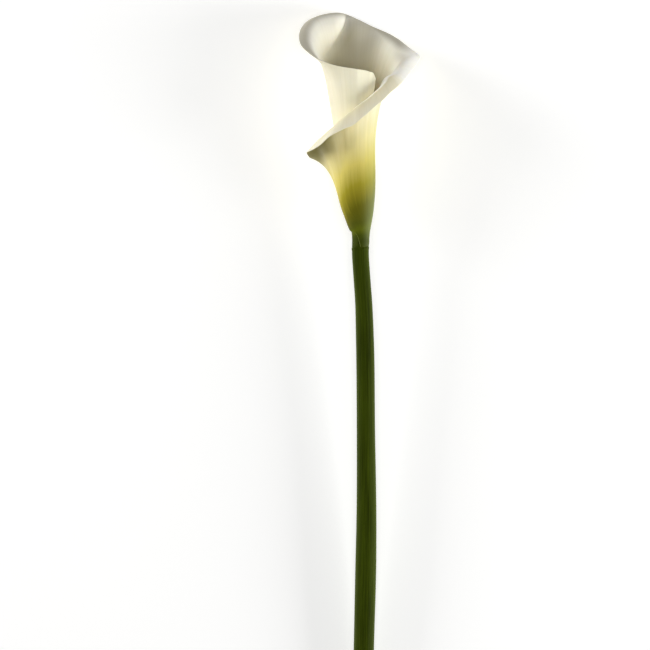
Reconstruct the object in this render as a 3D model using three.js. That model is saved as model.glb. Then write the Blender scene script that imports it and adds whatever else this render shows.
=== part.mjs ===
// A cut calla lily flower that lies on its back: the white spathe, one leaf rolled into a trumpet
// with an overlap in front, the yellow spadix that it wraps, and the round green stem.
// Millimetres. +Y runs along the stem towards the bloom, +Z points up from the table, and every
// section is taken straight across Y. Heights in the tables start where the spathe leaves the stem.
import * as THREE from "three";

// ---- sizes -----------------------------------------------------------------------------------
// Lays the middle of the flower's box over the origin: added to x and y of the tables.
const SHIFT_X = 0.9;
const SHIFT_Y = 129.1;

// Centre line from the cut end to the mouth: height, x, z.
const CENTRE = [
  [-427.5, -0.4, 7.6], [-300, 2.4, 13.0], [-250, 3.6, 15.8], [-200, 4.2, 18.5], [-145, 3.8, 21.6],
  [-75, 3.0, 26.2], [-46, 2.0, 28.1], [-28, 0.7, 29.3], [-10, -0.4, 30.4], [0, -0.5, 31.0],
  [7.5, -0.6, 31.4], [15, -1.2, 31.9], [30, -2.8, 32.7], [40, -3.5, 33.2], [60, -4.3, 33.6],
  [85, -4.8, 34.0], [120, -4.9, 34.2], [175, -4.9, 34.2],
];
// Stem: height, radius. At a low shoulder the last stretch narrows into the foot of the spathe.
const STEM = [
  [-427.5, 7.6], [-300, 7.65], [-250, 7.9], [-205, 7.5], [-150, 6.95], [-70, 6.7], [-46, 6.4],
  [-20, 6.3], [-9, 6.32], [-7.4, 6.3], [-6.9, 6.25], [-6, 5.3], [0, 5.0], [4, 5.0],
];
const SHOULDER = -6.9; // heights between which the stem narrows to the part inside the spathe
const RECESS = -6;
const CUT_SLOPE = 0.32; // the lower end is cut aslant, longest on the side of the table
const STEM_SIDES = 28;
const STEM_STEPS = 34;

// Spadix: height, radius, with its florets as low bumps in staggered rows.
const SPADIX = [[4.4, 3.5], [9, 4.0], [30, 4.5], [62, 4.4], [84, 3.9], [92, 2.9], [95.4, 0.5]];
const FLORETS_ROUND = 9;
const FLORET_PITCH = 6.0;
const FLORET_RISE = 0.38;
const SPADIX_SIDES = 36;
const SPADIX_STEPS = 54;

// Spathe: the angle goes round the centre line, 0 right, 90 towards the viewer, 180 left and 270
// on the table, from the hidden inner margin, one and a third turns on, to the outer margin.
const INNER_MARGIN = 46;
const OUTER_MARGIN = 548;
const LEAF = 0.8; // thickness
const LEAF_FOOT = 0.62; // thickness where it clasps the stem
// Angle, then of the rim there: height, reach from the centre line, roll of its edge away from
// the axis in degrees, depth at which the lip leaves the tube, and length of the curl.
const RIM = [
  [46, 120.5, 22.6, 10, 30, 12], [50, 123.6, 22.6, 10, 32, 12], [60, 125.3, 22.8, 12, 34, 13],
  [90, 127.3, 23.6, 14, 36, 14], [130, 131, 28, 34, 43, 14], [155, 137, 33.4, 64, 50, 14],
  [178, 147.5, 40, 98, 56, 16], [200, 159.8, 43.1, 110, 62, 17], [225, 168.1, 40.3, 112, 70, 14],
  [252, 171.2, 36.8, 108, 80, 12], [275, 166.2, 38.5, 106, 78, 12], [292, 160.5, 41, 104, 72, 12],
  [304, 156.8, 42, 103, 68, 12.5], [316, 152.9, 42.5, 102, 63, 13.5],
  [335, 146.2, 44.5, 102, 53, 16], [350, 138.6, 47.5, 108, 44, 19], [371, 122.6, 38.6, 132, 40, 23],
  [390, 114.6, 34.8, 148, 36, 29.5], [400, 110.3, 33.2, 157, 34, 25.6], [410, 104.2, 31.5, 165, 27, 25.6],
  [425, 96.6, 27.2, 170, 16, 23.8], [440, 90.4, 25.2, 172, 12, 25.6], [452, 85.9, 25, 170, 12.5, 27.4],
  [465, 83.3, 26, 168, 14, 24.3], [475, 80.8, 27.8, 160, 18, 24.1], [487, 77.1, 30.3, 152, 26.5, 25.9],
  [500, 71.5, 32, 162, 30, 25], [515, 67.5, 33, 160, 32, 22], [535, 65, 34, 124, 34, 17],
  [548, 62, 33.5, 72, 33, 15],
];
// Angle, and how far the lip keeps the tube's own direction there before it bends.
const LEAD = [[46, 1], [310, 1], [345, 0.65], [375, 0.55], [400, 0.7], [425, 1], [548, 1]];
// Tube under the lip: height, radius.
const TUBE = [
  [-6, 6], [0, 5.85], [7, 6.35], [15, 8.35], [22.5, 10.3], [30, 11.8], [37.5, 12.85], [50, 13.65],
  [64, 13.85], [79, 14.6], [90, 16.1], [101, 18.1], [120, 22.5], [140, 28],
];
// Height of the foot by angle, and the outer margin's angle by share of the way from foot to rim.
const FOOT = [
  [46, 0], [88, 0], [100, -1.2], [112, -3.6], [130, -4.8], [330, -4.2], [390, -4.4], [425, -5.2],
  [446, -5.6], [548, -5.6],
];
const MARGIN_END = [
  [0, 446], [0.05, 462], [0.105, 489], [0.175, 525], [0.26, 542], [0.4, 548], [1, 548],
];
const WRAP_GAP = [1.15, 0.5]; // how far the second layer stands off the first: at the foot, more above
const TIP = { angle: 351, width: 5, reach: 2.6 }; // the leaf ends in a blunt point at the right
// One crease runs down the back wall from the highest point of the rim: its angle by height.
const CREASE = [[124, 200], [137, 206], [146, 228], [155, 245], [162, 254], [170, 259]];
// How far the wall rises to the left of the crease, and how many degrees away; then to the right.
const CREASE_WALLS = [7, 24, 5, 20];
// The right side of the lip droops: middle angle, spread and depth.
const DROOP = { angle: 352, spread: 24, depth: 9 };
const SPATHE_COLUMNS = 100;
const TUBE_ROWS = 12; // they crowd towards the foot
const LIP_ROWS = 15;

// ---- formulas --------------------------------------------------------------------------------
const clamp = (x, low, high) => Math.min(Math.max(x, low), high);
const radians = (degrees) => (degrees * Math.PI) / 180;

function step(from, to, x) {
  const t = clamp((x - from) / (to - from), 0, 1);
  return t * t * (3 - 2 * t);
}

// Smooth line through the rows of a table, read from column k. It slackens where the values turn.
function curve(table, x, k = 1) {
  const n = table.length;
  const rise = (i) => (table[i + 1][k] - table[i][k]) / (table[i + 1][0] - table[i][0]);
  const span = (i) => table[i + 1][0] - table[i][0];
  const tangent = (i) => {
    if (i === 0) return rise(0);
    if (i === n - 1) return rise(n - 2);
    const [a, b, h, g] = [rise(i - 1), rise(i), span(i - 1), span(i)];
    return ((a * g + b * h) / (g + h)) * (a * b <= 0 ? 0.35 : 1);
  };
  let i = 0;
  while (i < n - 2 && x >= table[i + 1][0]) i += 1;
  const h = span(i);
  const t = clamp((x - table[i][0]) / h, 0, 1);
  const q = 1 - t;
  return (
    (1 + 2 * t) * q * q * table[i][k] + t * q * q * h * tangent(i) +
    t * t * (3 - 2 * t) * table[i + 1][k] - t * t * q * h * tangent(i + 1)
  );
}

// Section of the spathe at one angle, v from foot to rim: the tube below, then a lip bent outwards.
function section(angle, v) {
  const [rim, reach, roll, depth, curl] = [1, 2, 3, 4, 5].map((k) => curve(RIM, angle, k));
  const neck = rim - depth;
  if (v <= 0.5) {
    const foot = curve(FOOT, angle);
    const y = foot + (neck - foot) * 2 * v;
    return { y, r: curve(TUBE, y), s: 0 };
  }
  const s = 2 * v - 1;
  const q = 1 - s;
  const start = curve(TUBE, neck);
  const slope = curve(TUBE, neck + 0.5) - curve(TUBE, neck - 0.5);
  const reserve = 0.3 * Math.hypot(reach - start, depth) + 6;
  const lead = (curve(LEAD, angle) * reserve) / Math.hypot(slope, 1);
  const bend = (p0, p1, p2, p3) =>
    q ** 3 * p0 + 3 * s * q * q * p1 + 3 * s * s * q * p2 + s ** 3 * p3;
  return {
    y: bend(neck, neck + lead, rim - curl * Math.cos(radians(roll)), rim),
    r: bend(start, start + lead * slope, reach - curl * Math.sin(radians(roll)), reach),
    s,
  };
}

// Height over the table, where the rim that lies on it is pressed flat.
function pressed(z, low) {
  const over = z - low;
  const soft = 2;
  if (over > soft) return z;
  return over < -soft ? low : low + (over + soft) ** 2 / (4 * soft);
}

// Middle of the leaf: u from the inner to the outer margin, v from the foot to the rim.
function spathePoint(u, v) {
  let angle = INNER_MARGIN + (OUTER_MARGIN - INNER_MARGIN) * u;
  if (angle > 400) {
    angle = 400 + ((angle - 400) * (curve(MARGIN_END, v) - 400)) / (OUTER_MARGIN - 400);
  }
  const { y, r: plain, s } = section(angle, v);
  const along = clamp((y - 120) / 42, 0, 1);
  const past = angle - curve(CREASE, y);
  const [left, leftSpan, right, rightSpan] = CREASE_WALLS;
  // Rounded off at the crease itself, more so further down.
  const soft = 1 + 6 * (1 - along);
  const swell = (x, span) => {
    const t = (Math.hypot(x, soft) - soft) / span;
    return t * Math.exp(1 - t);
  };
  const wall =
    past < 0 ? left * swell(past, leftSpan) : right * swell(past, rightSpan) * (1 - s ** 5);
  const droop = DROOP.depth * s ** 5 * Math.exp(-(((angle - DROOP.angle) / DROOP.spread) ** 2));
  const raise = wall * along ** 1.1 * step(0, 0.4, s) - droop;
  const wave = 0.7 * Math.sin(radians(5 * angle)) + 0.45 * Math.sin(radians(8.3 * angle + 40));
  const layer =
    step(325, 402, angle) * (WRAP_GAP[0] * step(-6, -1.5, y) + WRAP_GAP[1] * step(-2, 12, y));
  const tip = TIP.reach * Math.exp(-Math.abs(angle - TIP.angle) / TIP.width);
  const r = plain + layer + (wave + tip) * s * s;
  const t = radians(angle);
  return new THREE.Vector3(
    SHIFT_X + curve(CENTRE, y, 1) + r * Math.cos(t),
    SHIFT_Y + y,
    pressed(curve(CENTRE, y, 2) + r * Math.sin(t) + raise, LEAF / 2),
  );
}

// ---- solids ----------------------------------------------------------------------------------
function geometryOf(points, faces) {
  const geometry = new THREE.BufferGeometry().setFromPoints(points);
  geometry.setIndex(faces.flat());
  geometry.computeVertexNormals();
  return geometry;
}

// Leaf of even thickness: both faces half of it off the middle, split alike, and a rim all round.
function leafGeometry(columns, tubeRows, lipRows) {
  const rows = tubeRows + lipRows;
  const faceIn = [];
  const faceOut = [];
  const e = 0.0015;
  for (let i = 0; i <= columns; i += 1) {
    for (let j = 0; j <= rows; j += 1) {
      const u = i / columns;
      const v =
        j < tubeRows ? 0.5 * (j / tubeRows) ** 1.4 : 0.5 + (0.5 * (j - tubeRows)) / lipRows;
      const [u0, u1] = [Math.max(u - e, 0), Math.min(u + e, 1)];
      const [v0, v1] = [Math.max(v - e, 0), Math.min(v + e, 1)];
      const across = spathePoint(u1, v).sub(spathePoint(u0, v));
      const up = spathePoint(u, v1).sub(spathePoint(u, v0));
      const half = (LEAF_FOOT + (LEAF - LEAF_FOOT) * step(0, 0.2, v)) / 2;
      const off = across.cross(up).normalize().multiplyScalar(half);
      faceIn.push(spathePoint(u, v).add(off));
      faceOut.push(spathePoint(u, v).sub(off));
    }
  }
  const back = faceIn.length;
  const at = (i, j) => i * (rows + 1) + j;
  const faces = [];
  for (let i = 0; i < columns; i += 1) {
    for (let j = 0; j < rows; j += 1) {
      const [a, b, c, d] = [at(i, j), at(i + 1, j), at(i + 1, j + 1), at(i, j + 1)];
      faces.push([a, b, c], [a, c, d], [back + a, back + c, back + b], [back + a, back + d, back + c]);
    }
  }
  const rim = [];
  for (let i = 0; i < columns; i += 1) rim.push(at(i, 0));
  for (let j = 0; j < rows; j += 1) rim.push(at(columns, j));
  for (let i = columns; i > 0; i -= 1) rim.push(at(i, rows));
  for (let j = rows; j > 0; j -= 1) rim.push(at(0, j));
  rim.forEach((a, k) => {
    const b = rim[(k + 1) % rim.length];
    faces.push([a, back + a, back + b], [a, back + b, b]);
  });
  return geometryOf([...faceIn, ...faceOut], faces);
}

// Round body along the centre line: ring j of n at height(j), radius(y, turn), closed at both ends.
function roundGeometry(sides, steps, height, radius, slope = 0) {
  const points = [];
  const faces = [];
  const middle = (y) =>
    new THREE.Vector3(SHIFT_X + curve(CENTRE, y, 1), SHIFT_Y + y, curve(CENTRE, y, 2));
  for (let j = 0; j <= steps; j += 1) {
    const y = height(j / steps);
    for (let i = 0; i < sides; i += 1) {
      const t = (2 * Math.PI * i) / sides;
      const r = radius(y, t);
      const aslant = j === 0 ? slope * r * Math.sin(t) : 0;
      points.push(middle(y).add(new THREE.Vector3(r * Math.cos(t), aslant, r * Math.sin(t))));
    }
  }
  for (let j = 0; j < steps; j += 1) {
    for (let i = 0; i < sides; i += 1) {
      const [a, b] = [j * sides + i, j * sides + ((i + 1) % sides)];
      faces.push([a, b + sides, b], [a, a + sides, b + sides]);
    }
  }
  const [low, high] = [points.length, points.length + 1];
  points.push(middle(height(0)), middle(height(1)));
  for (let i = 0; i < sides; i += 1) {
    const next = (i + 1) % sides;
    faces.push([low, i, next], [high, steps * sides + next, steps * sides + i]);
  }
  return geometryOf(points, faces);
}

const between = (table) => (t) => table[0][0] + (table.at(-1)[0] - table[0][0]) * t;

function stemGeometry() {
  // Even steps up to the shoulder, then one across it, and the rest inside the spathe.
  const inside = 4;
  const outside = STEM_STEPS - inside - 1;
  const height = (t) => {
    const k = Math.round(t * STEM_STEPS);
    const [low, high] = [STEM[0][0], STEM.at(-1)[0]];
    if (k <= outside) return low + ((SHOULDER - low) * k) / outside;
    return RECESS + ((high - RECESS) * (k - outside - 1)) / inside;
  };
  return roundGeometry(STEM_SIDES, STEM_STEPS, height, (y) => curve(STEM, y), CUT_SLOPE);
}

function spadixGeometry() {
  const radius = (y, t) => {
    const fade = step(6, 12, y) * (1 - step(88, 94, y));
    const bump = Math.cos(FLORETS_ROUND * t) * Math.cos((2 * Math.PI * (y - 4.4)) / FLORET_PITCH);
    return curve(SPADIX, y) + FLORET_RISE * fade * bump;
  };
  return roundGeometry(SPADIX_SIDES, SPADIX_STEPS, between(SPADIX), radius);
}

// ---- pieces ----------------------------------------------------------------------------------
const group = new THREE.Group();

function add(name, geometry, color, roughness) {
  const material = new THREE.MeshStandardMaterial({ color, roughness, metalness: 0 });
  const mesh = new THREE.Mesh(geometry, material);
  mesh.name = name;
  group.add(mesh);
}

add("stem", stemGeometry(), 0x4c611d, 0.45);
add("spadix", spadixGeometry(), 0xe3ad1f, 0.8);
add("spathe", leafGeometry(SPATHE_COLUMNS, TUBE_ROWS, LIP_ROWS), 0xf3eedb, 0.5);

export default group;
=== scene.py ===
"""A cut white calla lily lying on its back, seen from above as in the photograph.

Lengths are in millimetres until a mesh is made. Heights count from where the spathe leaves the
stem, as in the part's source.
"""

import logging
import math
from dataclasses import dataclass
from enum import Enum
from functools import reduce

import bpy
import numpy as np
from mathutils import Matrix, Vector


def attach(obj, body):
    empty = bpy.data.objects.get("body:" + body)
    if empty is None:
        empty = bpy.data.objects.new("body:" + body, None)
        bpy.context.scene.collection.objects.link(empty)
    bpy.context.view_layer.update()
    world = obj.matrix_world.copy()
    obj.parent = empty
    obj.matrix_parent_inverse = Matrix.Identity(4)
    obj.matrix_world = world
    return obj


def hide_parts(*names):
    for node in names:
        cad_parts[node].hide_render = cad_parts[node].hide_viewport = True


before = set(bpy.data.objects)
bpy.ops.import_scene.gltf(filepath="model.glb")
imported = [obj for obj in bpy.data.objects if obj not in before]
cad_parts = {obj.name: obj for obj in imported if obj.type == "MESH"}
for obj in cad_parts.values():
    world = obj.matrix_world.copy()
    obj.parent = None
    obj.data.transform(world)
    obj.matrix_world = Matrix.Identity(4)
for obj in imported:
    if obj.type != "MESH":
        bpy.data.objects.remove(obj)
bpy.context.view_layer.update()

logging.basicConfig(level=logging.INFO, format="%(message)s")
log = logging.getLogger("calla")

Array = np.ndarray
Row = tuple[float, ...]
Pair = tuple[float, float]
Colour = tuple[float, float, float]
Stops = tuple[tuple[float, Colour], ...]
Levels = tuple[Pair, ...]
Gloss = Pair  # roughness and specular level
Relief = Pair  # strength of a bump, and its height in metres
Tissue = tuple[float, Colour, float]  # light's share that goes in, reach by colour, and scale
Streaks = tuple[float, float, float, float]  # changes across and along, layer, detail of a noise
Piece = bpy.types.Object
Socket = bpy.types.NodeSocket

MM = 0.001
SHIFT = (0.9, 129.1)  # from the tables' x and height to the frame's X and Y, in millimetres
TURN_SLOPE = 0.35  # share of its slope that a line keeps at a row where it turns
NOISE_MEAN = 0.5
WHITE: Colour = (1.0, 1.0, 1.0)
MAP_NAME = "along"


# ---- formulas shared by the pieces ----


@dataclass(frozen=True)
class Span:
    """A stretch of angles, heights or shares over which something comes in or goes out."""

    low: float
    high: float

    def rise(self, x: Array) -> Array:
        """Rises from 0 at the low end to 1 at the high end, level at both."""
        t = np.clip((np.asarray(x, float) - self.low) / (self.high - self.low), 0.0, 1.0)
        return t * t * (3.0 - 2.0 * t)

    def fall(self, x: Array) -> Array:
        """Falls from 1 at the low end to 0 at the high end, level at both."""
        return 1.0 - self.rise(x)


@dataclass(frozen=True)
class Patch:
    """A soft patch on the leaf: a bell curve over the angle and over the place from foot to rim."""

    strength: float
    angle: float
    spread: float
    place: float = 0.0
    depth: float = math.inf

    def share(self, angle: Array, v: Array) -> Array:
        """How strong the patch is at an angle in degrees and a place v."""
        aside, along = (angle - self.angle) / self.spread, (v - self.place) / self.depth
        return self.strength * np.exp(-(aside**2) - along**2)


def waves(turn: Array, rows: tuple[Row, ...]) -> Array:
    """Sum of waves round the centre line: rows of size, waves in a full turn, and start."""
    return sum(size * np.sin(count * turn + start) for size, count, start in rows)


def unit(vectors: Array) -> Array:
    """Vectors of length 1 in the same directions."""
    return vectors / np.linalg.norm(vectors, axis=-1, keepdims=True)


@dataclass(frozen=True)
class Line:
    """A smooth line through the rows of a table: a place first, then one or more values."""

    rows: tuple[Row, ...]

    def __call__(self, x: Array, column: int = 1) -> Array:
        """Reads the line: cubic pieces whose slope at a row is the mean of both sides.

        A row where the line turns keeps only part of that slope.

        Args:
            x: places to read, of any shape.
            column: which value of the rows to read.

        Returns:
            The values, in the shape of x.
        """
        table = np.array([(row[0], row[column]) for row in self.rows])
        place, value = table.T
        span = np.diff(place)
        rise = np.diff(value) / span
        slope = np.full(len(place), rise[0])
        slope[-1] = rise[-1]
        slope[1:-1] = (rise[:-1] * span[1:] + rise[1:] * span[:-1]) / (span[1:] + span[:-1])
        turns = np.concatenate([[False], rise[:-1] * rise[1:] <= 0, [False]])
        slope[turns] *= TURN_SLOPE
        x = np.asarray(x, float)
        i = np.clip(np.searchsorted(place, x, side="right") - 1, 0, len(place) - 2)
        t = np.clip((x - place[i]) / span[i], 0.0, 1.0)
        q = 1.0 - t
        start = (1.0 + 2.0 * t) * q * q * value[i] + t * q * q * span[i] * slope[i]
        end = t * t * (3.0 - 2.0 * t) * value[i + 1] - t * t * q * span[i] * slope[i + 1]
        return start + end


# Height, x and z of the flower's centre line, from the cut end to the mouth.
CENTRE = Line((
    (-427.5, -0.4, 7.6), (-300, 2.4, 13.0), (-250, 3.6, 15.8), (-200, 4.2, 18.5),
    (-145, 3.8, 21.6), (-75, 3.0, 26.2), (-46, 2.0, 28.1), (-28, 0.7, 29.3), (-10, -0.4, 30.4),
    (0, -0.5, 31.0), (7.5, -0.6, 31.4), (15, -1.2, 31.9), (30, -2.8, 32.7), (40, -3.5, 33.2),
    (60, -4.3, 33.6), (85, -4.8, 34.0), (120, -4.9, 34.2), (175, -4.9, 34.2),
))


def around_centre(height: Array, radius: Array, turn: Array) -> Array:
    """Points at a radius and a turn about the centre line, straight across Y.

    Args:
        height: heights in millimetres.
        radius: distances from the centre line.
        turn: angles in radians, 0 towards +X and a quarter turn towards +Z.

    Returns:
        Points in millimetres, with a last axis of three.
    """
    x = SHIFT[0] + CENTRE(height, 1) + radius * np.cos(turn)
    z = CENTRE(height, 2) + radius * np.sin(turn)
    return np.stack([x, SHIFT[1] + height, z], axis=-1)


def grid_faces(indices: Array) -> Array:
    """Rows of four vertex numbers, one row for each quad of a grid of such numbers."""
    a, b, c, d = indices[:-1, :-1], indices[1:, :-1], indices[1:, 1:], indices[:-1, 1:]
    return np.stack([a, b, c, d], axis=-1).reshape(-1, 4)


def make_object(name: str, points: Array, faces: Array) -> Piece:
    """Puts points and faces into a smooth mesh object at the origin.

    Args:
        name: the object's name.
        points: vertices in millimetres.
        faces: rows of four vertex numbers, facing outwards; one whose last two agree is a triangle.

    Returns:
        The object, linked to the scene.
    """
    rows = [row[:3] if row[2] == row[3] else row for row in faces.tolist()]
    mesh = bpy.data.meshes.new(name)
    mesh.from_pydata((points * MM).tolist(), [], rows)
    mesh.validate()
    mesh.shade_smooth()
    piece = bpy.data.objects.new(name, mesh)
    bpy.context.scene.collection.objects.link(piece)
    return piece


def round_piece(name: str, points: Array, ends: Array) -> Piece:
    """Makes a round body: quads between rings of points, and a fan at each end.

    Args:
        name: the object's name.
        points: the rings' points, sides by rings.
        ends: middle points of the low and the high end.

    Returns:
        The object, whose last two vertices are the ends.
    """
    ring = np.arange(points[..., 0].size).reshape(points.shape[:2])
    following = np.roll(ring, -1, axis=0)
    low = np.full(len(ring), ring.size)
    sides = grid_faces(np.concatenate([ring, ring[:1]]))[:, ::-1]
    start = np.stack([low, ring[:, 0], following[:, 0], following[:, 0]], axis=-1)
    end = np.stack([low + 1, following[:, -1], ring[:, -1], ring[:, -1]], axis=-1)
    faces = np.concatenate([sides, start, end])
    return make_object(name, np.concatenate([points.reshape(-1, 3), ends]), faces)


def set_attribute(piece: Piece, name: str, values: Array) -> None:
    """Stores one number at each vertex, for the materials to read."""
    attribute = piece.data.attributes.new(name, "FLOAT", "POINT")
    attribute.data.foreach_set("value", values.astype(np.float32).ravel())


def set_uv(piece: Piece, uv: Array) -> None:
    """Stores a flat map.

    Args:
        piece: the object.
        uv: a pair of numbers for each vertex.
    """
    mesh = piece.data
    corners = np.empty(len(mesh.loops), np.int32)
    mesh.loops.foreach_get("vertex_index", corners)
    layer = mesh.uv_layers.new(name=MAP_NAME)
    layer.data.foreach_set("uv", uv[corners].astype(np.float32).ravel())


# ---- finishes ----


class Kind(Enum):
    """Shader nodes that the finishes use."""

    ATTRIBUTE = "Attribute"
    BUMP = "Bump"
    COMBINE = "CombineXYZ"
    COORDINATE = "TexCoord"
    MATH = "Math"
    MIX = "Mix"
    NOISE = "TexNoise"
    RAMP = "ValToRGB"
    SEPARATE = "SeparateXYZ"
    UV = "UVMap"
    VORONOI = "TexVoronoi"


def from_screen(red: int, green: int, blue: int) -> Colour:
    """Makes a screen colour of 0 to 255 linear: straight near black, by a power of 2.4 above."""
    part = np.array([red, green, blue]) / 255.0
    return tuple(np.where(part <= 0.04045, part / 12.92, ((part + 0.055) / 1.055) ** 2.4).tolist())


def screen_stops(*rows: tuple[float, int, int, int]) -> Stops:
    """Stops of a ramp, from rows of a place and a screen colour."""
    return tuple((place, from_screen(*colour)) for place, *colour in rows)


class Recipe:
    """A material in the making: short calls that add nodes and join them."""

    def __init__(self, name: str, gloss: Gloss) -> None:
        """Starts a material with its main shader.

        Args:
            name: the material's name.
            gloss: roughness and specular level.
        """
        self.material = bpy.data.materials.new(name)
        self.material.use_nodes = True
        self.nodes = self.material.node_tree.nodes
        self.links = self.material.node_tree.links
        self.shader = self.nodes["Principled BSDF"]
        self.fill(self.shader, {"Roughness": gloss[0], "Specular IOR Level": gloss[1]})

    def add(self, kind: Kind, **settings: object) -> bpy.types.Node:
        """Adds a node.

        Args:
            kind: the node's kind.
            settings: its properties by their names.

        Returns:
            The node.
        """
        node = self.nodes.new("ShaderNode" + kind.value)
        for key, value in settings.items():
            setattr(node, key, value)
        return node

    def join(self, source: object, target: Socket) -> None:
        """Links a socket to a target, or sets a plain value on it.

        Args:
            source: the socket or the value.
            target: an input of a node.
        """
        if isinstance(source, Socket):
            self.links.new(source, target)
        else:
            target.default_value = source

    def fill(self, node: bpy.types.Node, values: dict[str, object]) -> bpy.types.Node:
        """Gives values to a node's inputs.

        Args:
            node: the node.
            values: values and sockets by the inputs' names.

        Returns:
            The node.
        """
        for name, value in values.items():
            self.join(value, node.inputs[name])
        return node

    def result(self, node: bpy.types.Node, *values: object) -> Socket:
        """Gives values to a node's first inputs, in their order.

        Args:
            node: the node.
            values: values and sockets.

        Returns:
            The node's first output.
        """
        for value, target in zip(values, node.inputs):
            self.join(value, target)
        return node.outputs[0]

    def math(self, operation: str, *values: object) -> Socket:
        """Adds a sum of one or two values, by Blender's name for it, such as MULTIPLY."""
        return self.result(self.add(Kind.MATH, operation=operation), *values)

    def scale(self, value: object, factor: object) -> Socket:
        """Multiplies a value by a factor."""
        return self.math("MULTIPLY", value, factor)

    def total(self, *values: object) -> Socket:
        """Adds values up, in their order."""
        return reduce(lambda first, second: self.math("ADD", first, second), values)

    def positive(self, value: object) -> Socket:
        """Keeps a value above 0, and makes it 0 elsewhere."""
        return self.math("MAXIMUM", value, 0.0)

    def swing(self, noise: object, size: float) -> Socket:
        """Moves a noise so that it lies about 0, and multiplies it."""
        return self.scale(self.math("SUBTRACT", noise, NOISE_MEAN), size)

    def attribute(self, name: str) -> Socket:
        """Reads a number that is stored at the vertices."""
        return self.add(Kind.ATTRIBUTE, attribute_name=name).outputs["Fac"]

    def position(self) -> Socket:
        """Reads the place on the object, in metres."""
        return self.add(Kind.COORDINATE).outputs["Object"]

    def parts(self, vector: object) -> bpy.types.bpy_prop_collection:
        """Takes a vector apart into X, Y and Z."""
        return self.fill(self.add(Kind.SEPARATE), {"Vector": vector}).outputs

    def flat_map(self) -> tuple[Socket, Socket]:
        """Reads both numbers of the piece's flat map: round the piece, and along it."""
        parts = self.parts(self.add(Kind.UV, uv_map=MAP_NAME).outputs[0])
        return parts["X"], parts["Y"]

    def combine(self, x: object, y: object, z: object) -> Socket:
        """Makes a vector of three values."""
        return self.result(self.add(Kind.COMBINE), x, y, z)

    def noise(self, vector: object, scale: float, detail: float = 3.0) -> Socket:
        """Adds a noise over a vector, about 0.5 in the mean."""
        values = {"Vector": vector, "Scale": scale, "Detail": detail}
        return self.fill(self.add(Kind.NOISE), values).outputs[0]

    def streaks(self, across: object, along: object, kind: Streaks) -> Socket:
        """Adds a noise over the flat map, drawn out into streaks."""
        spot = self.combine(self.scale(across, kind[0]), self.scale(along, kind[1]), kind[2])
        return self.noise(spot, 1.0, kind[3])

    def levels(self, value: object, stops: Levels) -> Socket:
        """Turns a value of 0 to 1 into numbers that blend from stop to stop."""
        return self.ramp(value, tuple((place, (level,) * 3) for place, level in stops))

    def ramp(self, value: object, stops: Stops) -> Socket:
        """Turns a value into colours that blend from stop to stop.

        Args:
            value: the value, 0 to 1.
            stops: rows of a place and a colour.

        Returns:
            The colour's socket.
        """
        node = self.add(Kind.RAMP)
        self.join(value, node.inputs[0])
        elements = node.color_ramp.elements
        while len(elements) < len(stops):
            elements.new(1.0)
        for element, (place, colour) in zip(elements, stops):
            element.position = place
            element.color = (*colour, 1.0)
        return node.outputs["Color"]

    def mix(self, share: object, first: object, second: object, blend: str = "MIX") -> Socket:
        """Mixes two colours.

        Args:
            share: share of the second colour.
            first, second: the colours.
            blend: Blender's name for the way they mix.

        Returns:
            The mixed colour's socket.
        """
        node = self.add(Kind.MIX, data_type="RGBA", blend_type=blend)
        self.join(share, node.inputs["Factor"])
        for value, name in ((first, "A"), (second, "B")):
            target = next(s for s in node.inputs if s.name == name and s.type == "RGBA")
            self.join((*value, 1.0) if isinstance(value, tuple) else value, target)
        return next(s for s in node.outputs if s.type == "RGBA")

    def tinted(self, share: object, colour: object, tint: object) -> Socket:
        """Multiplies a colour by a tint, as far as the share goes."""
        return self.mix(share, colour, self.mix(1.0, colour, tint, "MULTIPLY"))

    def paint(self, colour: object) -> None:
        """Gives the shader its colour."""
        self.join(colour, self.shader.inputs["Base Color"])

    def bump(self, height: object, relief: Relief) -> None:
        """Lets a height raise the surface's shading, on top of any bump that is there already.

        Args:
            height: the height's socket.
            relief: strength, and height in metres.
        """
        normal = self.shader.inputs["Normal"]
        values = {"Strength": relief[0], "Distance": relief[1], "Height": height}
        if normal.is_linked:
            values["Normal"] = normal.links[0].from_socket
        self.join(self.fill(self.add(Kind.BUMP), values).outputs["Normal"], normal)

    def scatter(self, tissue: Tissue) -> None:
        """Lets light through the surface, as in plant tissue."""
        for name, value in zip(("Weight", "Radius", "Scale"), tissue):
            self.shader.inputs["Subsurface " + name].default_value = value


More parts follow.
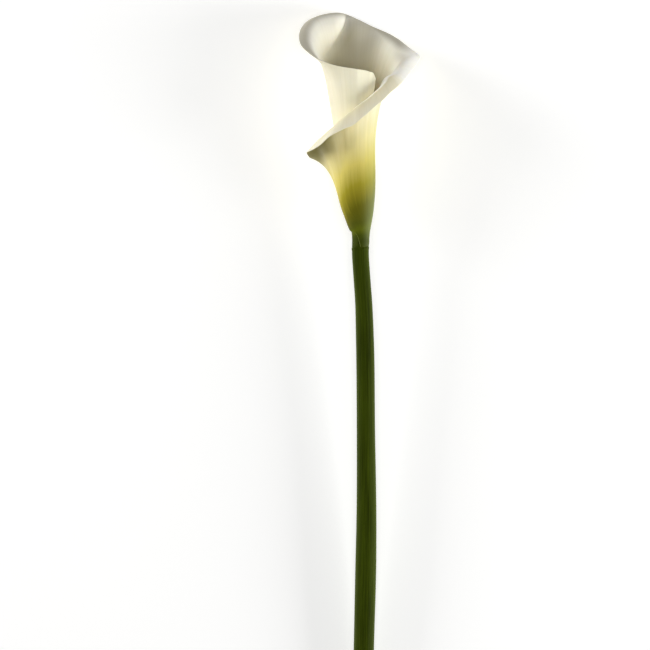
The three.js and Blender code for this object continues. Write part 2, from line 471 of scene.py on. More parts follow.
@dataclass(frozen=True)
class SpatheFinish:
    """Waxy leaf, green at the foot, then yellow, cream and white, with fine lengthwise veins."""

    length: float = 176.0
    gloss: Gloss = (0.58, 0.08)
    outside: Stops = screen_stops(  # by height, as a share of the length
        (0.00, 58, 68, 1), (0.02, 70, 80, 4), (0.045, 98, 106, 16), (0.075, 88, 92, 18),
        (0.14, 106, 102, 14), (0.23, 166, 154, 40), (0.32, 223, 207, 108), (0.42, 247, 234, 168),
        (0.54, 247, 240, 207), (0.74, 252, 246, 220),
    )
    inside: Stops = screen_stops(  # by place from foot to rim
        (0.00, 150, 150, 50), (0.35, 206, 192, 112), (0.60, 228, 219, 179),
        (0.80, 249, 245, 226), (0.95, 253, 251, 243),
    )
    # What the painted shade multiplies the inner and the outer face by: the shade in the throat and
    # along the rim inside, and the shadow under the lower left tip outside.
    painted_shade: Colour = (0.38, 0.35, 0.26)
    shadow_under_tip: Colour = (0.33, 0.31, 0.13)
    margin: Colour = from_screen(150, 158, 84)
    # Painted light and shade on the flanks: a grey shade on the left flank higher up, and a pale
    # green glow on the right flank, each with its strength by height.
    left: Colour = (0.88, 0.87, 0.86)
    left_levels: Levels = ((0.42, 0.0), (0.58, 1.0))
    green: Colour = from_screen(146, 157, 108)
    green_gain: float = 1.6
    green_levels: Levels = (
        (0.00, 0.4), (0.05, 0.85), (0.15, 0.85), (0.34, 0.55), (0.62, 0.42), (0.85, 0.2),
    )
    # The outer face's lip is paler than its height alone would make it.
    lip_start: float = 0.75
    lip_gain: float = 0.6
    # How far streaks and the painted light and shade shifts move a colour along its ramp, on each
    # face.
    streak_drift: float = 0.05
    band_drift: float = 0.07
    drift_levels: Levels = ((0.015, 0.0), (0.1, 1.0))
    outer_shift: float = 0.095
    inner_shift: float = 0.26
    inner_drift: float = 0.5
    streaks: Streaks = (150.0, 2.2, 0.0, 3.0)
    bands: Streaks = (24.0, 1.4, 3.0, 3.0)
    veins: Streaks = (170.0, 1.2, 7.0, 1.5)
    streak_tint: Stops = ((0.30, (0.93, 0.93, 0.90)), (0.62, WHITE))
    tint_share: float = 0.5
    vein_relief: Relief = (0.14, 0.0004)
    grain_scale: float = 1400.0
    grain_detail: float = 2.0
    grain_relief: Relief = (0.06, 0.0002)
    tissue: Tissue = (0.2, (1.0, 0.86, 0.55), 0.0007)

    def build(self) -> bpy.types.Material:
        """Makes the material.

        Returns:
            The material: a colour ramp for each face, their bounds drawn out into streaks; painted
            shade and painted light; raised veins and a fine grain.
        """
        recipe = Recipe("spathe_waxy_leaf", self.gloss)
        across, along = recipe.flat_map()
        streaks = recipe.streaks(across, along, self.streaks)
        bands = recipe.streaks(across, along, self.bands)
        drift = recipe.swing(streaks, self.streak_drift)
        drift = recipe.total(drift, recipe.swing(bands, self.band_drift))
        shift, inner = recipe.attribute("painted_light_shift"), recipe.attribute("inner_face")
        place = recipe.total(
            along, recipe.scale(drift, self.inner_drift), recipe.scale(shift, self.inner_shift)
        )
        outer_colour = self.outer_colour(recipe, along, drift, shift)
        colour = recipe.mix(inner, outer_colour, recipe.ramp(place, self.inside))
        # Painted shade: grey in the throat and along the rim, olive in the shadow under the lower
        # left tip.
        shade = recipe.mix(inner, self.shadow_under_tip, self.painted_shade)
        colour = recipe.tinted(recipe.attribute("painted_shade_share"), colour, shade)
        colour = recipe.mix(recipe.attribute("margin_edge"), colour, self.margin)
        recipe.paint(recipe.tinted(self.tint_share, colour, recipe.ramp(streaks, self.streak_tint)))
        recipe.bump(recipe.streaks(across, along, self.veins), self.vein_relief)
        grain = recipe.noise(recipe.position(), self.grain_scale, self.grain_detail)
        recipe.bump(grain, self.grain_relief)
        recipe.scatter(self.tissue)
        return recipe.material

    def outer_colour(self, recipe: Recipe, along: object, drift: object, shift: object) -> Socket:
        """Adds the colour of the outer face.

        Args:
            recipe: the material in the making.
            along: place from foot to rim.
            drift: what the streaks add to a place.
            shift: the painted light shift, above 0 on the left flank and below 0 on the right.

        Returns:
            The colour's socket.
        """
        height = recipe.math("SUBTRACT", recipe.parts(recipe.position())["Y"], SHIFT[1] * MM)
        share = recipe.math("DIVIDE", height, self.length * MM)
        lip = recipe.positive(recipe.math("SUBTRACT", along, self.lip_start))
        aside = recipe.total(drift, recipe.scale(shift, self.outer_shift))
        place = recipe.total(
            share,
            recipe.scale(lip, self.lip_gain),
            recipe.scale(aside, recipe.levels(share, self.drift_levels)),
        )
        # Painted light and shade: a pale green glow on the right flank, where light shines through,
        # and a grey shade higher up the left flank.
        right = recipe.scale(recipe.positive(recipe.scale(shift, -1.0)), self.green_gain)
        green = recipe.scale(right, recipe.levels(share, self.green_levels))
        colour = recipe.mix(green, recipe.ramp(place, self.outside), self.green)
        left = recipe.scale(recipe.positive(shift), recipe.levels(share, self.left_levels))
        return recipe.tinted(left, colour, self.left)


@dataclass(frozen=True)
class SpadixFinish:
    """Golden florets, paler at their tips and greener in the clefts and towards the foot."""

    gloss: Gloss = (0.78, 0.3)
    cleft: Colour = from_screen(176, 124, 18)
    tip: Colour = from_screen(250, 208, 74)
    foot: Colour = from_screen(196, 186, 84)
    ends: Pair = (0.1, 0.85)  # shares of the crest where cleft and tip are pure
    mottle_scale: float = 420.0
    mottle: float = 0.4
    dust_scale: float = 3200.0
    dust_relief: Relief = (0.35, 0.0002)
    tissue: Tissue = (0.2, (1.0, 0.6, 0.2), 0.001)

    def build(self) -> bpy.types.Material:
        """Makes the material.

        Returns:
            The material: colour by how far a point stands out of the clefts, and a dusty grain.
        """
        recipe = Recipe("spadix_florets", self.gloss)
        mottle = recipe.swing(recipe.noise(recipe.position(), self.mottle_scale), self.mottle)
        lift = recipe.total(recipe.attribute("crest"), mottle)
        colour = recipe.ramp(lift, tuple(zip(self.ends, (self.cleft, self.tip))))
        recipe.paint(recipe.mix(recipe.attribute("foot"), colour, self.foot))
        recipe.bump(recipe.noise(recipe.position(), self.dust_scale), self.dust_relief)
        recipe.scatter(self.tissue)
        return recipe.material


@dataclass(frozen=True)
class StemFinish:
    """Dark green skin with fine lengthwise streaks, and the pale wet pith of the cut end."""

    gloss: Gloss = (0.5, 0.02)
    dark: Colour = from_screen(26, 34, 1)
    light: Colour = from_screen(65, 78, 10)
    # Painted side light: the skin turns to this paler green towards both flanks.
    painted_flank_light: Colour = from_screen(104, 116, 62)
    rind: Colour = from_screen(128, 146, 70)
    pith: Colour = from_screen(206, 212, 158)
    skin_ends: Pair = (0.36, 0.72)  # where the noise's dark and light are pure
    fine: tuple[float, float, float] = (26.0, 26.0, 9.0)  # changes round the stem and along it
    fine_share: float = 0.75
    broad_along: float = 6.0
    broad_scale: float = 1.3
    broad_share: float = 0.35
    flank_power: float = 6.0
    flank_share: float = 0.4
    fibre_scale: float = 900.0
    fibre_ends: Pair = (0.12, 0.4)  # of a fibre's dot and of the pith round it
    rind_levels: Levels = ((0.80, 0.0), (0.95, 1.0))  # by the share of the way to the skin
    streak_relief: Relief = (0.22, 0.0005)
    tissue: Tissue = (0.12, (0.7, 1.0, 0.25), 0.0015)

    def build(self) -> bpy.types.Material:
        """Makes the material.

        Returns:
            The material: long streaks mix two greens, made paler at the flanks by painted side
                light;
            on the cut face a pale pith with fibre dots lies inside a green rind.
        """
        recipe = Recipe("stem_green_skin", self.gloss)
        _, along = recipe.flat_map()
        turn, side = recipe.attribute("turn_sine"), recipe.attribute("turn_cosine")
        spot = [recipe.scale(value, size) for value, size in zip((side, turn, along), self.fine)]
        fine = recipe.noise(recipe.combine(*spot), 1.0)
        spot = recipe.combine(side, turn, recipe.scale(along, self.broad_along))
        broad = recipe.scale(recipe.noise(spot, self.broad_scale), self.broad_share)
        blend = recipe.total(recipe.scale(fine, self.fine_share), broad)
        skin = recipe.ramp(blend, tuple(zip(self.skin_ends, (self.dark, self.light))))
        painted_flank_light = recipe.math("POWER", recipe.math("ABSOLUTE", side), self.flank_power)
        skin = recipe.mix(recipe.scale(painted_flank_light, self.flank_share), skin, self.painted_flank_light)
        values = {"Vector": recipe.position(), "Scale": self.fibre_scale}
        dots = recipe.fill(recipe.add(Kind.VORONOI), values).outputs["Distance"]
        pith = recipe.ramp(dots, tuple(zip(self.fibre_ends, (self.rind, self.pith))))
        ring = recipe.levels(recipe.attribute("cut_radius"), self.rind_levels)
        face = recipe.mix(ring, pith, self.rind)
        recipe.paint(recipe.mix(recipe.attribute("cut_face"), skin, face))
        recipe.bump(fine, self.streak_relief)
        recipe.scatter(self.tissue)
        return recipe.material


@dataclass(frozen=True)
class FloorFinish:
    """Plain pale panel that glows a little, as a light table does."""

    gloss: Gloss = (0.9, 0.1)
    colour: Colour = (0.88, 0.88, 0.87)
    glow: float = 0.32

    def build(self) -> bpy.types.Material:
        """Makes the material.

        Returns:
            The material: a dull white that glows.
        """
        recipe = Recipe("floor_pale", self.gloss)
        recipe.paint((*self.colour, 1.0))
        values = {"Emission Color": (*WHITE, 1.0), "Emission Strength": self.glow}
        recipe.fill(recipe.shader, values)
        return recipe.material


# ---- pieces ----


@dataclass(frozen=True)
class SpathePaintedLight:
    """Painted shade and light on the leaf, by angle in degrees, place from foot to rim, and height.

    On the inner face painted shade rises over a few degrees past the crease, over more of them
    lower down, and fades towards the right lip and deep in the tube; more painted shade greys the
    rim, the rolled front lip and the fold at the right. On the outer face it is a painted shadow
    under the lower left tip. Shifts move a colour along its ramp, to the pale end where positive:
    painted light pales the left flank, and painted shade darkens the rolled front lip.
    """

    # Painted shade in the throat, past the crease and deep in the tube.
    past_crease: Span = Span(-0.3, 1.0)  # in widths of the rise
    rise_width: Line = Line(((124, 34), (169, 14)))  # height, then degrees
    right_lip: Span = Span(286, 318)
    tube: Span = Span(84, 118)
    tube_share: float = 0.35
    throat: float = 0.70
    throat_right: float = 0.33
    right_side: Span = Span(250, 282)
    near_rim: Span = Span(0.75, 0.97)
    high: Patch = Patch(0.24, 264.0, 20.0, 0.81, 0.09)
    low: Patch = Patch(0.22, 0.0, math.inf, 0.69, 0.06)
    low_end: Span = Span(250, 285)
    # Painted shade in the fold of the right lip.
    right_fold_shade: Patch = Patch(0.42, 355.0, 13.0, 0.873, 0.035)
    # Painted shade along the rim, where the lip turns away from the light.
    rim_shade: float = 0.74
    rim: Span = Span(0.87, 0.96)
    rim_end: Span = Span(330, 350)
    # Painted shade on the rolled front lip.
    front: Span = Span(368, 392)
    front_shade: float = 0.07
    # Painted shadow on the outer face, under the lower left tip.
    shadow_under_tip: tuple[tuple[Patch, Span], ...] = (
        (Patch(1.0, 508.0, 34.0), Span(0.58, 0.9)),
        (Patch(0.5, 546.0, 20.0), Span(0.80, 0.92)),
    )
    warm: float = 0.15
    warm_start: Span = Span(268, 300)
    warm_end: Span = Span(335, 352)
    # Painted light on the flanks of the outer face: paler on the left, greener on the right.
    right_flank: float = -0.45
    flanks_from: float = 90.0

    def inner_painted_shade(self, angle: Array, v: Array, height: Array, past: Array, front: Array) -> Array:
        """Painted shade of the inner face: in the throat past the crease, along the rim, on the
        rolled front lip and in the fold at the right.

        Args:
            angle: angles in degrees.
            v: places from foot to rim.
            height: heights in millimetres.
            past: degrees past the crease.
            front: share by which a point is on the rolled front lip.

        Returns:
            The shade, 0 to 1.
        """
        back = self.past_crease.rise(past / self.rise_width(height)) * self.right_lip.fall(angle)
        back = back * (self.tube_share + (1.0 - self.tube_share) * self.tube.rise(height))
        depth = self.throat + self.high.share(angle, v)
        depth = depth - self.low_end.fall(angle) * self.low.share(angle, v)
        depth = depth - self.throat_right * self.right_side.rise(angle) * self.near_rim.fall(v)
        painted_shade = back * depth + self.front_shade * front + self.right_fold_shade.share(angle, v)
        return np.maximum(painted_shade, self.rim_shade * self.rim.rise(v) * self.rim_end.fall(angle))

    def outer_painted_shade(self, angle: Array, v: Array) -> Array:
        """Painted shadow of the outer face, under the lower left tip."""
        under = sum(patch.share(angle, v) * place.rise(v) for patch, place in self.shadow_under_tip)
        return np.minimum(under, 1.0)

    def inner_shift(self, angle: Array, front: Array) -> Array:
        """Shift of the inner face: back towards yellow on the front lip, as painted shade there,
        and in the right throat.
        """
        return -front - self.warm * self.warm_start.rise(angle) * self.warm_end.fall(angle)

    def outer_shift(self, angle: Array) -> Array:
        """Shift of the outer face, as painted light on its flanks: the squared cosine of the angle,
        turned round on the right.
        """
        side = np.cos(np.radians(angle))
        return side**2 * np.where(side < 0, 1.0, self.right_flank) * (angle > self.flanks_from)


@dataclass
class Spathe:
    """The rolled leaf. Its angle goes round the centre line: 0 is right, 90 up, 180 left.

    270 is on the table, and past 360 the outer layer comes round over the inner one. A line reads
    angles where its comment says nothing else.
    """

    inner_margin: float = 46.0
    outer_margin: float = 548.0
    thickness: float = 0.8
    foot_thickness: float = 0.62
    rim_thinning: float = 0.12
    full_thickness: Span = Span(0, 0.2)
    thin_rim: Span = Span(0.85, 1.0)
    # Angle, then of the rim there: height, reach, roll in degrees, depth of the lip, its curl.
    rim: Line = Line((
        (46, 120.5, 22.6, 10, 30, 12), (50, 123.6, 22.6, 10, 32, 12),
        (60, 125.3, 22.8, 12, 34, 13), (90, 127.3, 23.6, 14, 36, 14),
        (130, 131, 28, 34, 43, 14), (155, 137, 33.4, 64, 50, 14),
        (178, 147.5, 40, 98, 56, 16), (200, 159.8, 43.1, 110, 62, 17),
        (225, 168.1, 40.3, 112, 70, 14), (252, 171.2, 36.8, 108, 80, 12),
        (275, 166.2, 38.5, 106, 78, 12), (292, 160.5, 41, 104, 72, 12),
        (304, 156.8, 42, 103, 68, 12.5), (316, 152.9, 42.5, 102, 63, 13.5),
        (335, 146.2, 44.5, 102, 53, 16), (350, 138.6, 47.5, 108, 44, 19),
        (371, 122.6, 38.6, 132, 40, 23), (390, 114.6, 34.8, 148, 36, 29.5),
        (400, 110.3, 33.2, 157, 34, 25.6), (410, 104.2, 31.5, 165, 27, 25.6),
        (425, 96.6, 27.2, 170, 16, 23.8), (440, 90.4, 25.2, 172, 12, 25.6),
        (452, 85.9, 25, 170, 12.5, 27.4), (465, 83.3, 26, 168, 14, 24.3),
        (475, 80.8, 27.8, 160, 18, 24.1), (487, 77.1, 30.3, 152, 26.5, 25.9),
        (500, 71.5, 32, 162, 30, 25), (515, 67.5, 33, 160, 32, 22),
        (535, 65, 34, 124, 34, 17), (548, 62, 33.5, 72, 33, 15),
    ))
    # Height, then the tube's radius.
    tube: Line = Line((
        (-6, 6), (0, 5.85), (7, 6.35), (15, 8.35), (22.5, 10.3), (30, 11.8), (37.5, 12.85),
        (50, 13.65), (64, 13.85), (79, 14.6), (90, 16.1), (101, 18.1), (120, 22.5), (140, 28),
    ))
    # Height of the lower edge.
    foot: Line = Line((
        (46, 0), (88, 0), (100, -1.2), (112, -3.6), (130, -4.8), (330, -4.2), (390, -4.4),
        (425, -5.2), (446, -5.6), (548, -5.6),
    ))
    # Place from foot to rim, then the outer margin's angle there; it slopes in near the foot.
    margin_end: Line = Line((
        (0, 446), (0.05, 462), (0.105, 489), (0.175, 525), (0.26, 542), (0.4, 548), (1, 548),
    ))
    squeeze_from: float = 400.0
    # Length of the lip's first control arm, as a share of arm_share of its span and arm_least.
    lead: Line = Line(((46, 1), (310, 1), (345, 0.65), (375, 0.55), (400, 0.7), (425, 1), (548, 1)))
    arm_share: float = 0.3
    arm_least: float = 6.0
    # Where one layer comes over the other, and parts of the gap, each over a span of height.
    overlap: Span = Span(325, 402)
    gaps: tuple[tuple[float, Span], ...] = ((1.15, Span(-6, -1.5)), (0.5, Span(-2, 12)))
    # The fold down the back wall: height and angle of its crease, where it starts, its two walls
    # by their rise and the degrees to their top, and its rounding at the top and further down.
    crease: Line = Line(((124, 200), (137, 206), (146, 228), (155, 245), (162, 254), (170, 259)))
    crease_from: float = 120.0
    crease_length: float = 42.0
    crease_growth: float = 1.1
    crease_lip: Span = Span(0, 0.4)
    left_wall: Pair = (7.0, 24.0)
    right_wall: Pair = (5.0, 20.0)
    rounding: Pair = (1.0, 6.0)
    rim_power: int = 5  # of the share of the lip: holds a change to the rim
    droop: Patch = Patch(9.0, 352.0, 24.0)
    # The blunt point at the right: its angle, spread in degrees, and reach.
    point: tuple[float, float, float] = (351.0, 5.0, 2.6)
    lip_waves: tuple[Row, ...] = ((0.7, 5.0, 0.0), (0.45, 8.3, math.radians(40)))
    ripples: tuple[Row, ...] = ((0.05, 17.0, 1.0), (0.03, 29.0, 2.2))
    ripple_span: Span = Span(20, 110)
    turned_over: Span = Span(0.0, 0.25)
    roll_step: float = 0.004
    bend: float = 4.5
    clearance: float = 0.05
    margin_line: Span = Span(0.06, 0.16)
    paint: SpathePaintedLight = SpathePaintedLight()
    columns: int = 330
    rows: int = 134
    crowding: float = 1.4  # rows stand closer near the rim, by this power of the way that is left
    edge_steps: int = 3
    slope_step: float = 0.0015

    def section(self, angle: Array, v: Array) -> tuple[Array, Array, Array]:
        """Section of the leaf at each angle: a tube below, and above it a lip bent outwards.

        The lip is a cubic curve that leaves the tube along its slope and reaches the rim at the
        roll angle from the axis, so past 90 degrees it turns back down.

        Args:
            angle: angles in degrees.
            v: share of the way from foot to rim; the lip begins at a half.

        Returns:
            Radius, height, and share of the way up the lip.
        """
        rim, reach, roll, depth, curl = (self.rim(angle, k) for k in range(1, 6))
        roll = np.radians(roll)
        neck = rim - depth
        foot = self.foot(angle)
        low = foot + (neck - foot) * np.clip(2.0 * v, 0.0, 1.0)
        s = np.clip(2.0 * v - 1.0, 0.0, 1.0)
        q = 1.0 - s
        start = self.tube(neck)
        slope = self.tube(neck + 0.5) - self.tube(neck - 0.5)
        lead = self.lead(angle) * (self.arm_share * np.hypot(reach - start, depth) + self.arm_least)
        lead = lead / np.hypot(slope, 1.0)

        def bend(p0: Array, p1: Array, p2: Array, p3: Array) -> Array:
            """Cubic curve from the first to the last of four control values."""
            return q**3 * p0 + 3 * s * q * q * p1 + 3 * s * s * q * p2 + s**3 * p3

        lip_height = bend(neck, neck + lead, rim - curl * np.cos(roll), rim)
        lip_radius = bend(start, start + lead * slope, reach - curl * np.sin(roll), reach)
        in_lip = v > 0.5
        return np.where(in_lip, lip_radius, self.tube(low)), np.where(in_lip, lip_height, low), s

    def middle(self, u: Array, v: Array) -> Array:
        """Middle of the leaf, with its layers, its fold, its waves and the flat that it rests on.

        Args:
            u, v: shares of the way from inner to outer margin, and from foot to rim.

        Returns:
            Points in millimetres, with a last axis of three.
        """
        angle = self.angle(u, v)
        radius, height, s = self.section(angle, v)
        turn = np.radians(angle)
        near_rim = s**self.rim_power
        gap = sum(size * span.rise(height) for size, span in self.gaps)
        wave, ripple = waves(turn, self.lip_waves), waves(turn, self.ripples)
        place, spread, reach = self.point
        point = reach * np.exp(-np.abs(angle - place) / spread)
        radius = radius + self.overlap.rise(angle) * gap
        radius = radius + (wave + point) * s * s + ripple * self.ripple_span.rise(height)
        points = around_centre(height, radius, turn)
        lifted = self.fold(angle, height, s) - self.droop.share(angle, v) * near_rim
        points[..., 2] = self.pressed(points[..., 2] + lifted)
        return points

    def fold(self, angle: Array, height: Array, s: Array) -> Array:
        """Lift of the fold down the back wall: a wall on each side of its crease.

        Each wall rises as x times the exponential of 1 - x, where x is the way from the crease as
        a share of the way to the wall's top.

        Args:
            angle: angles in degrees.
            height: heights in millimetres.
            s: shares of the way up the lip.

        Returns:
            The lift in millimetres.
        """
        along = np.clip((height - self.crease_from) / self.crease_length, 0.0, 1.0)
        past = angle - self.crease(height)
        soft = self.rounding[0] + self.rounding[1] * (1.0 - along)
        away = np.hypot(past, soft) - soft
        left = np.where(past < 0, away, 0.0) / self.left_wall[1]
        right = np.where(past > 0, away, 0.0) / self.right_wall[1]
        wall = self.left_wall[0] * left * np.exp(1 - left)
        wall = wall + self.right_wall[0] * right * np.exp(1 - right) * (1 - s**self.rim_power)
        return wall * along**self.crease_growth * self.crease_lip.rise(s)

    def angle(self, u: Array, v: Array) -> Array:
        """Angle round the centre line, drawn in near the foot, where the outer margin slopes in.

        Args:
            u, v: shares of the way from inner to outer margin, and from foot to rim.

        Returns:
            Angles in degrees.
        """
        angle = self.inner_margin + (self.outer_margin - self.inner_margin) * u
        start = self.squeeze_from
        squeeze = (self.margin_end(v) - start) / (self.outer_margin - start)
        return np.where(angle > start, start + (angle - start) * squeeze, angle)

    def shades(self, u: Array, v: Array) -> dict[str, tuple[Array, Array]]:
        """Painted light and shade attributes.

        Args:
            u, v: shares of the way from inner to outer margin, and from foot to rim.

        Returns:
            By name, each attribute's values on the inner and on the outer face.
        """
        angle = self.angle(u, v)
        _, height, _ = self.section(angle, v)
        past = angle - self.crease(height)
        front = self.paint.front.rise(angle) * self.rolled(angle, v)
        inner_painted_shade = self.paint.inner_painted_shade(angle, v, height, past, front)
        inner_shift = self.paint.inner_shift(angle, front)
        return {
            "painted_shade_share": (inner_painted_shade, self.paint.outer_painted_shade(angle, v)),
            "painted_light_shift": (inner_shift, self.paint.outer_shift(angle)),
        }

    def rolled(self, angle: Array, v: Array) -> Array:
        """How far the lip has turned over, from the heights a little above and below.

        Args:
            angle: angles in degrees.
            v: places from foot to rim.

        Returns:
            The share: 0 while the lip climbs, 1 where it runs well down.
        """
        _, above, _ = self.section(angle, np.minimum(v + self.roll_step, 1.0))
        _, below, _ = self.section(angle, np.maximum(v - self.roll_step, 0.0))
        return self.turned_over.rise(below - above)

    def pressed(self, z: Array) -> Array:
        """Keeps the leaf on the table: lowest parts lie flat, after a bend shaped as a parabola.

        Args:
            z: heights of its middle over the table, in millimetres.

        Returns:
            The heights, none of them below half the thickness.
        """
        over = z - self.thickness / 2
        bent = (over + self.bend) ** 2 / (4.0 * self.bend)
        flat = np.where(over < -self.bend, 0.0, np.where(over > self.bend, over, bent))
        return flat + self.thickness / 2 + self.clearance

    def normals(self, u: Array, v: Array) -> tuple[Array, Array, Array]:
        """Directions of the leaf, from points a small step to each side.

        Args:
            u, v: shares of the way from inner to outer margin, and from foot to rim.

        Returns:
            Unit vectors across the leaf, up it, and out of its inner face.
        """
        e = self.slope_step
        across = unit(self.middle(np.minimum(u + e, 1), v) - self.middle(np.maximum(u - e, 0), v))
        up = unit(self.middle(u, np.minimum(v + e, 1)) - self.middle(u, np.maximum(v - e, 0)))
        return across, up, unit(np.cross(across, up))

    def build(self) -> Piece:
        """Makes the leaf: both faces half a thickness off the middle, with a half-round edge.

        Along each border the grid goes on for a few rows, further out and thinner by the sine and
        the cosine of an angle that grows to 90 degrees, where both faces share points.

        Returns:
            The finished object, with its map, inner_face and the painted light and shade
            attributes.
        """
        k = self.edge_steps
        bulge = np.linspace(math.pi / 2, 0.0, k + 1)[:-1]
        counts = (self.columns, self.rows)
        out_u, out_v = (np.concatenate([-bulge, np.zeros(n + 1), bulge[::-1]]) for n in counts)
        u, step = (np.clip((np.arange(n + 1 + 2 * k) - k) / n, 0, 1) for n in counts)
        v = 1.0 - (1.0 - step) ** self.crowding
        uu, vv = np.meshgrid(u, v, indexing="ij")
        across, up, normal = self.normals(uu, vv)
        gain = (self.thickness - self.foot_thickness) * self.full_thickness.rise(vv)
        whole = self.foot_thickness + gain - self.rim_thinning * self.thin_rim.rise(vv)
        half = whole[..., None] / 2
        border = across * np.sin(out_u)[:, None, None] + up * np.sin(out_v)[None, :, None]
        centre = self.middle(uu, vv) + border * half
        lift = normal * half * (np.cos(out_u)[:, None] * np.cos(out_v)[None, :])[..., None]
        count = uu.size
        top = np.arange(count).reshape(uu.shape)
        bottom = top + count
        for edge in (np.s_[0, :], np.s_[-1, :], np.s_[:, 0], np.s_[:, -1]):
            bottom[edge] = top[edge]
        faces = np.concatenate([grid_faces(top), grid_faces(bottom)[:, ::-1]])
        points = np.stack([centre + lift, centre - lift]).reshape(-1, 3)
        kept, renumbered = np.unique(faces, return_inverse=True)
        piece = make_object("spathe_leaf", points[kept], renumbered.reshape(-1, 4))
        uv = np.stack([uu, vv], axis=-1).reshape(-1, 2)
        set_uv(piece, np.concatenate([uv, uv])[kept])
        line = np.sin(np.maximum(out_u, 0.0))[:, None] * self.margin_line.fall(vv)
        shades = {"inner_face": (np.ones(uu.shape), np.zeros(uu.shape))}
        shades |= self.shades(uu, vv) | {"margin_edge": (line, line)}
        for name, values in shades.items():
            set_attribute(piece, name, np.stack(values).ravel()[kept])
        return piece


@dataclass
class Spadix:
    """The finger of florets on the end of the stem."""

    # Height, then radius.
    body: Line = Line(((4.4, 3.5), (9, 4), (30, 4.5), (62, 4.4), (84, 3.9), (92, 2.9), (95.4, 0.5)))
    florets_round: int = 26
    floret_pitch: float = 1.9
    floret_rise: float = 0.42
    floret_sink: float = 0.12
    floret_span: float = 1.15  # the larger, the smaller a dome
    # Where domes come in over the foot and go out under the tip, from the low and the high end.
    foot_fade: Pair = (3.0, 9.0)
    tip_fade: float = 2.5
    tip_crest: float = 0.6
    green_end: Pair = (4.0, 26.0)
    sides: int = 182
    steps: int = 480
    crowding: float = 0.35  # share by which rings crowd towards the tip, as a sine does

    def build(self) -> Piece:
        """Makes the spadix: rings along the centre line, raised into a dome at each floret.

        A dome is the root of one less the squared distance from its floret, where a whole step
        between florets counts as two. Rows are staggered.

        Returns:
            The finished object, with its crest and foot attributes.
        """
        low, high = self.body.rows[0][0], self.body.rows[-1][0]
        arc = np.sin(np.linspace(0, math.pi / 2, self.steps + 1))
        even = np.linspace(0, 1, self.steps + 1)
        height = low + (high - low) * (arc * self.crowding + even * (1 - self.crowding))
        turn = np.arange(self.sides) * 2 * math.pi / self.sides
        tt, hh = np.meshgrid(turn, height, indexing="ij")
        row = (hh - low) / self.floret_pitch
        place = tt / (2 * math.pi) * self.florets_round
        rises = []
        for offset in (0.0, 0.5):
            side = np.abs((place + offset) % 1.0 - 0.5) * 2.0
            along = np.abs((row + offset) % 1.0 - 0.5) * 2.0
            dome = 1.0 - self.floret_span * (side**2 + along**2)
            rises.append(np.sqrt(np.clip(dome, 0.0, 1.0)))
        crest = np.maximum(*rises)
        fade_in, full = (low + reach for reach in self.foot_fade)
        fade = Span(fade_in, full).rise(hh) * Span(high - self.tip_fade, high).fall(hh)
        radius = self.body(hh) - self.floret_sink + self.floret_rise * crest * fade
        ends = around_centre(np.array([low, high]), np.zeros(2), np.zeros(2))
        piece = round_piece("spadix_florets", around_centre(hh, radius, tt), ends)
        crest = crest * fade + self.tip_crest * Span(full, high).rise(hh) * (1 - fade)
        set_attribute(piece, "crest", np.append(crest.ravel(), [0.0, self.tip_crest]))
        foot = Span(*(low + reach for reach in self.green_end)).fall(hh)
        set_attribute(piece, "foot", np.append(foot.ravel(), [1.0, 0.0]))
        return piece


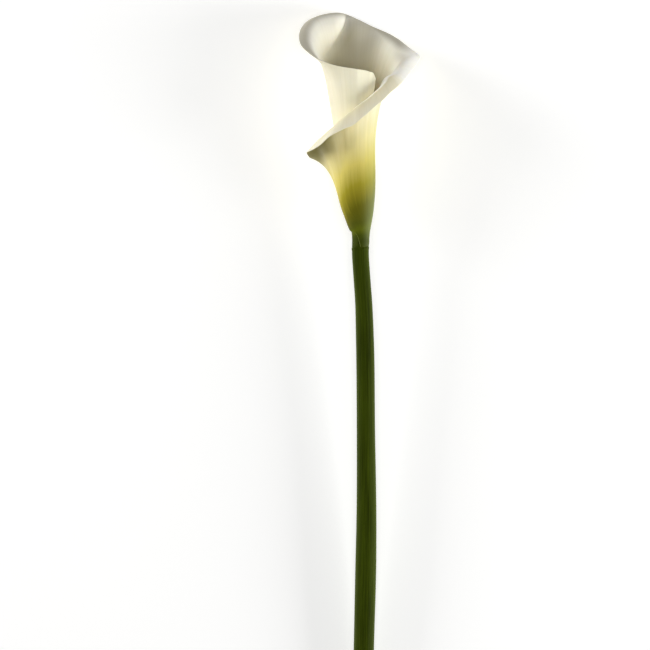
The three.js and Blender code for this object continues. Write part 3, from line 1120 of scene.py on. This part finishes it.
@dataclass
class Stem:
    """The round stem with its cut end."""

    # Height, then radius. The last rows before 0 form the shoulder.
    body: Line = Line((
        (-427.5, 7.6), (-300, 7.65), (-250, 7.9), (-205, 7.5), (-150, 6.95), (-70, 6.7),
        (-46, 6.4), (-20, 6.3), (-9, 6.32), (-6.15, 6.3), (-5.95, 6.16), (-5.8, 5.4), (0, 5.0),
        (4, 5.0),
    ))
    # Turn in degrees, then the height of the shoulder there, just under the foot of the spathe.
    shoulder: Line = Line((
        (0, -4.4), (30, -4.55), (65, -5.35), (84, -5.75), (90, -4.7), (96, -2.8), (102, -1.9),
        (112, -3.8), (130, -4.95), (330, -4.4), (360, -4.4),
    ))
    shoulder_at: float = -5.95  # height in the table of radii that the shoulder's line moves
    move_in: Span = Span(-13.0, -6.5)
    move_out: Span = Span(-5.5, 4.0)
    # Rings of the upper end: from, to and number; below them the rings stand further apart.
    top_rings: tuple[Row, ...] = ((-12.5, -7, 12), (-6.7, -5.5, 16), (-5, 4, 10))
    skin_end: float = -13.0
    first_rings: tuple[float, ...] = (0.0, 0.0006, 0.0015)
    skin_range: Pair = (0.003, 0.975)
    spacing: float = 1.1
    cut_slope: float = 0.32
    cut_reach: float = 10.0
    cut_middle: float = 0.1  # radius share of the cut face's first ring
    pith_sink: float = 0.5
    rib: float = 0.05
    ribs_round: tuple[int, int] = (11, 17)
    second_rib: float = 0.6  # as a share of the first
    rib_twist: float = 60.0  # millimetres along the stem in which the second turns by a radian
    sides: int = 120
    steps: int = 300
    cut_rings: int = 10

    def build(self) -> Piece:
        """Makes the stem: a cut face of rings from its middle out, then rings up to the bloom.

        The cut lies aslant: its points move along the stem by their height over the centre line.
        The pith sinks a little, by one less the square of the share of the way to the skin.

        Returns:
            The finished object, with its map and the attributes of its turn and the cut face.
        """
        low, high = self.body.rows[0][0], self.body.rows[-1][0]
        turn = np.arange(self.sides) * 2 * math.pi / self.sides
        out = np.linspace(self.cut_middle, 1.0, self.cut_rings)
        rise = np.linspace(*self.skin_range, self.steps) ** self.spacing
        rise = np.concatenate([self.first_rings, rise])
        skin = low + (self.skin_end - low) * rise / rise[-1]
        top = [np.linspace(*ring_row) for ring_row in self.top_rings]
        heights = np.concatenate([np.full(self.cut_rings, low), skin, *top])
        shares = np.concatenate([out, np.ones(len(heights) - len(out))])
        face = np.where(np.arange(len(heights)) < self.cut_rings, 1.0, 0.0)
        tt, hh = np.meshgrid(turn, heights, indexing="ij")
        first, second = self.ribs_round
        twisted = self.second_rib * np.sin(second * tt + hh / self.rib_twist)
        ribs = self.rib * (np.sin(first * tt) + twisted)
        radius = (self.body(hh) + ribs) * shares[None, :]
        moved = self.move_in.rise(hh) * self.move_out.fall(hh)
        hh = hh + (self.shoulder(np.degrees(tt)) - self.shoulder_at) * moved
        points = around_centre(hh, radius, tt)
        aslant = self.cut_slope * radius * np.sin(tt)
        sunk = self.pith_sink * (1 - shares**2)[None, :] * face[None, :]
        points[..., 1] += aslant * Span(low, low + self.cut_reach).fall(hh) + sunk
        ends = around_centre(np.array([low + self.pith_sink, high]), np.zeros(2), np.zeros(2))
        piece = round_piece("stem_round", points, ends)
        share = (hh - low) / (high - low)
        uv = np.stack([tt / (2 * math.pi), share], axis=-1).reshape(-1, 2)
        set_uv(piece, np.concatenate([uv, [[0.5, 0.0], [0.5, 1.0]]]))
        for name, values, at_ends in (
            ("turn_sine", np.sin(tt), (0.0, 0.0)),
            ("turn_cosine", np.cos(tt), (0.0, 0.0)),
            ("cut_radius", np.broadcast_to(shares, hh.shape), (0.0, 1.0)),
            ("cut_face", np.broadcast_to(face, hh.shape), (1.0, 0.0)),
        ):
            set_attribute(piece, name, np.append(values.ravel(), at_ends))
        return piece


# ---- studio ----


@dataclass(frozen=True)
class Softbox:
    """A square light panel that faces a point on the flower."""

    name: str
    bearing: float  # degrees from +X towards +Y
    rise: float  # degrees above the table
    size: float
    power: float
    distance: float = 2.0

    def build(self, aim: Vector) -> None:
        """Hangs the panel and turns it.

        Args:
            aim: point that it faces, at its distance.
        """
        light = bpy.data.lights.new(self.name, "AREA")
        light.shape = "SQUARE"
        light.size = self.size
        light.energy = self.power
        bearing, rise = math.radians(self.bearing), math.radians(self.rise)
        level = math.cos(rise)
        away = Vector((level * math.cos(bearing), level * math.sin(bearing), math.sin(rise)))
        panel = bpy.data.objects.new(self.name, light)
        panel.location = aim + away * self.distance
        panel.rotation_euler = (-away).to_track_quat("-Z", "Y").to_euler()
        bpy.context.scene.collection.objects.link(panel)


@dataclass
class Studio:
    """Pale floor, soft light and the camera straight above, framed as the photograph."""

    picture_side: float = 650.0  # pixels
    scale: float = 0.75  # millimetres in a pixel, at the height of the bloom's middle
    foot_pixel: Pair = (361.0, 240.0)  # where the spathe leaves the stem
    bloom_height: float = 35.0  # millimetres over the floor
    lens: float = 400.0
    sensor: float = 36.0
    floor_side: float = 14.0
    far_clip: float = 50.0
    aim: tuple[float, float, float] = (0.0, 0.2, 0.03)
    softboxes: tuple[Softbox, ...] = (
        Softbox("softbox_right", -15.0, 15.0, 0.9, 32.5),
        Softbox("softbox_left", 165.0, 15.0, 0.9, 27.5),
        Softbox("softbox_overhead", 0.0, 90.0, 0.8, 10.0),
    )
    ambient: float = 0.2

    def build(self) -> None:
        """Makes floor, lights, world and camera."""
        self.build_floor()
        for softbox in self.softboxes:
            softbox.build(Vector(self.aim))
        world = bpy.data.worlds.new("studio_air")
        world.use_nodes = True
        background = world.node_tree.nodes["Background"]
        background.inputs["Color"].default_value = (*WHITE, 1.0)
        background.inputs["Strength"].default_value = self.ambient
        bpy.context.scene.world = world
        bpy.context.scene.view_settings.view_transform = "Standard"
        self.build_camera()

    def build_floor(self) -> None:
        """Lays the floor under the flower."""
        half = self.floor_side / 2 / MM
        corners = np.array([(-half, -half, 0), (half, -half, 0), (half, half, 0), (-half, half, 0)])
        floor = make_object("floor", corners, np.array([(0, 1, 2, 3)]))
        floor.data.materials.append(FloorFinish().build())

    def build_camera(self) -> None:
        """Hangs the camera so that the spathe's foot falls on its pixel of the photograph."""
        middle = self.picture_side / 2
        x = (middle - self.foot_pixel[0]) * self.scale + SHIFT[0]
        y = (self.foot_pixel[1] - middle) * self.scale + SHIFT[1]
        distance = self.picture_side * self.scale * self.lens / self.sensor
        data = bpy.data.cameras.new("camera")
        data.lens = self.lens
        data.sensor_width = self.sensor
        data.clip_end = self.far_clip
        camera = bpy.data.objects.new("camera", data)
        camera.location = (x * MM, y * MM, (self.bloom_height + distance) * MM)
        bpy.context.scene.collection.objects.link(camera)
        bpy.context.scene.camera = camera


# ---- the flower ----


def dress(piece: Piece, material: bpy.types.Material, node: str) -> None:
    """Gives a piece its finish and puts it in the place of the frame's node.

    Args:
        piece: the finished object.
        material: its material.
        node: the node that it stands for, whose imported part it hides.
    """
    piece.data.materials.append(material)
    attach(piece, "root")
    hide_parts(node)
    log.info("%s: %d faces, for node %s", piece.name, len(piece.data.polygons), node)


def main() -> None:
    """Builds the flower and the studio."""
    dress(Stem().build(), StemFinish().build(), "stem")
    dress(Spadix().build(), SpadixFinish().build(), "spadix")
    dress(Spathe().build(), SpatheFinish().build(), "spathe")
    Studio().build()


if __name__ == "__main__":
    main()
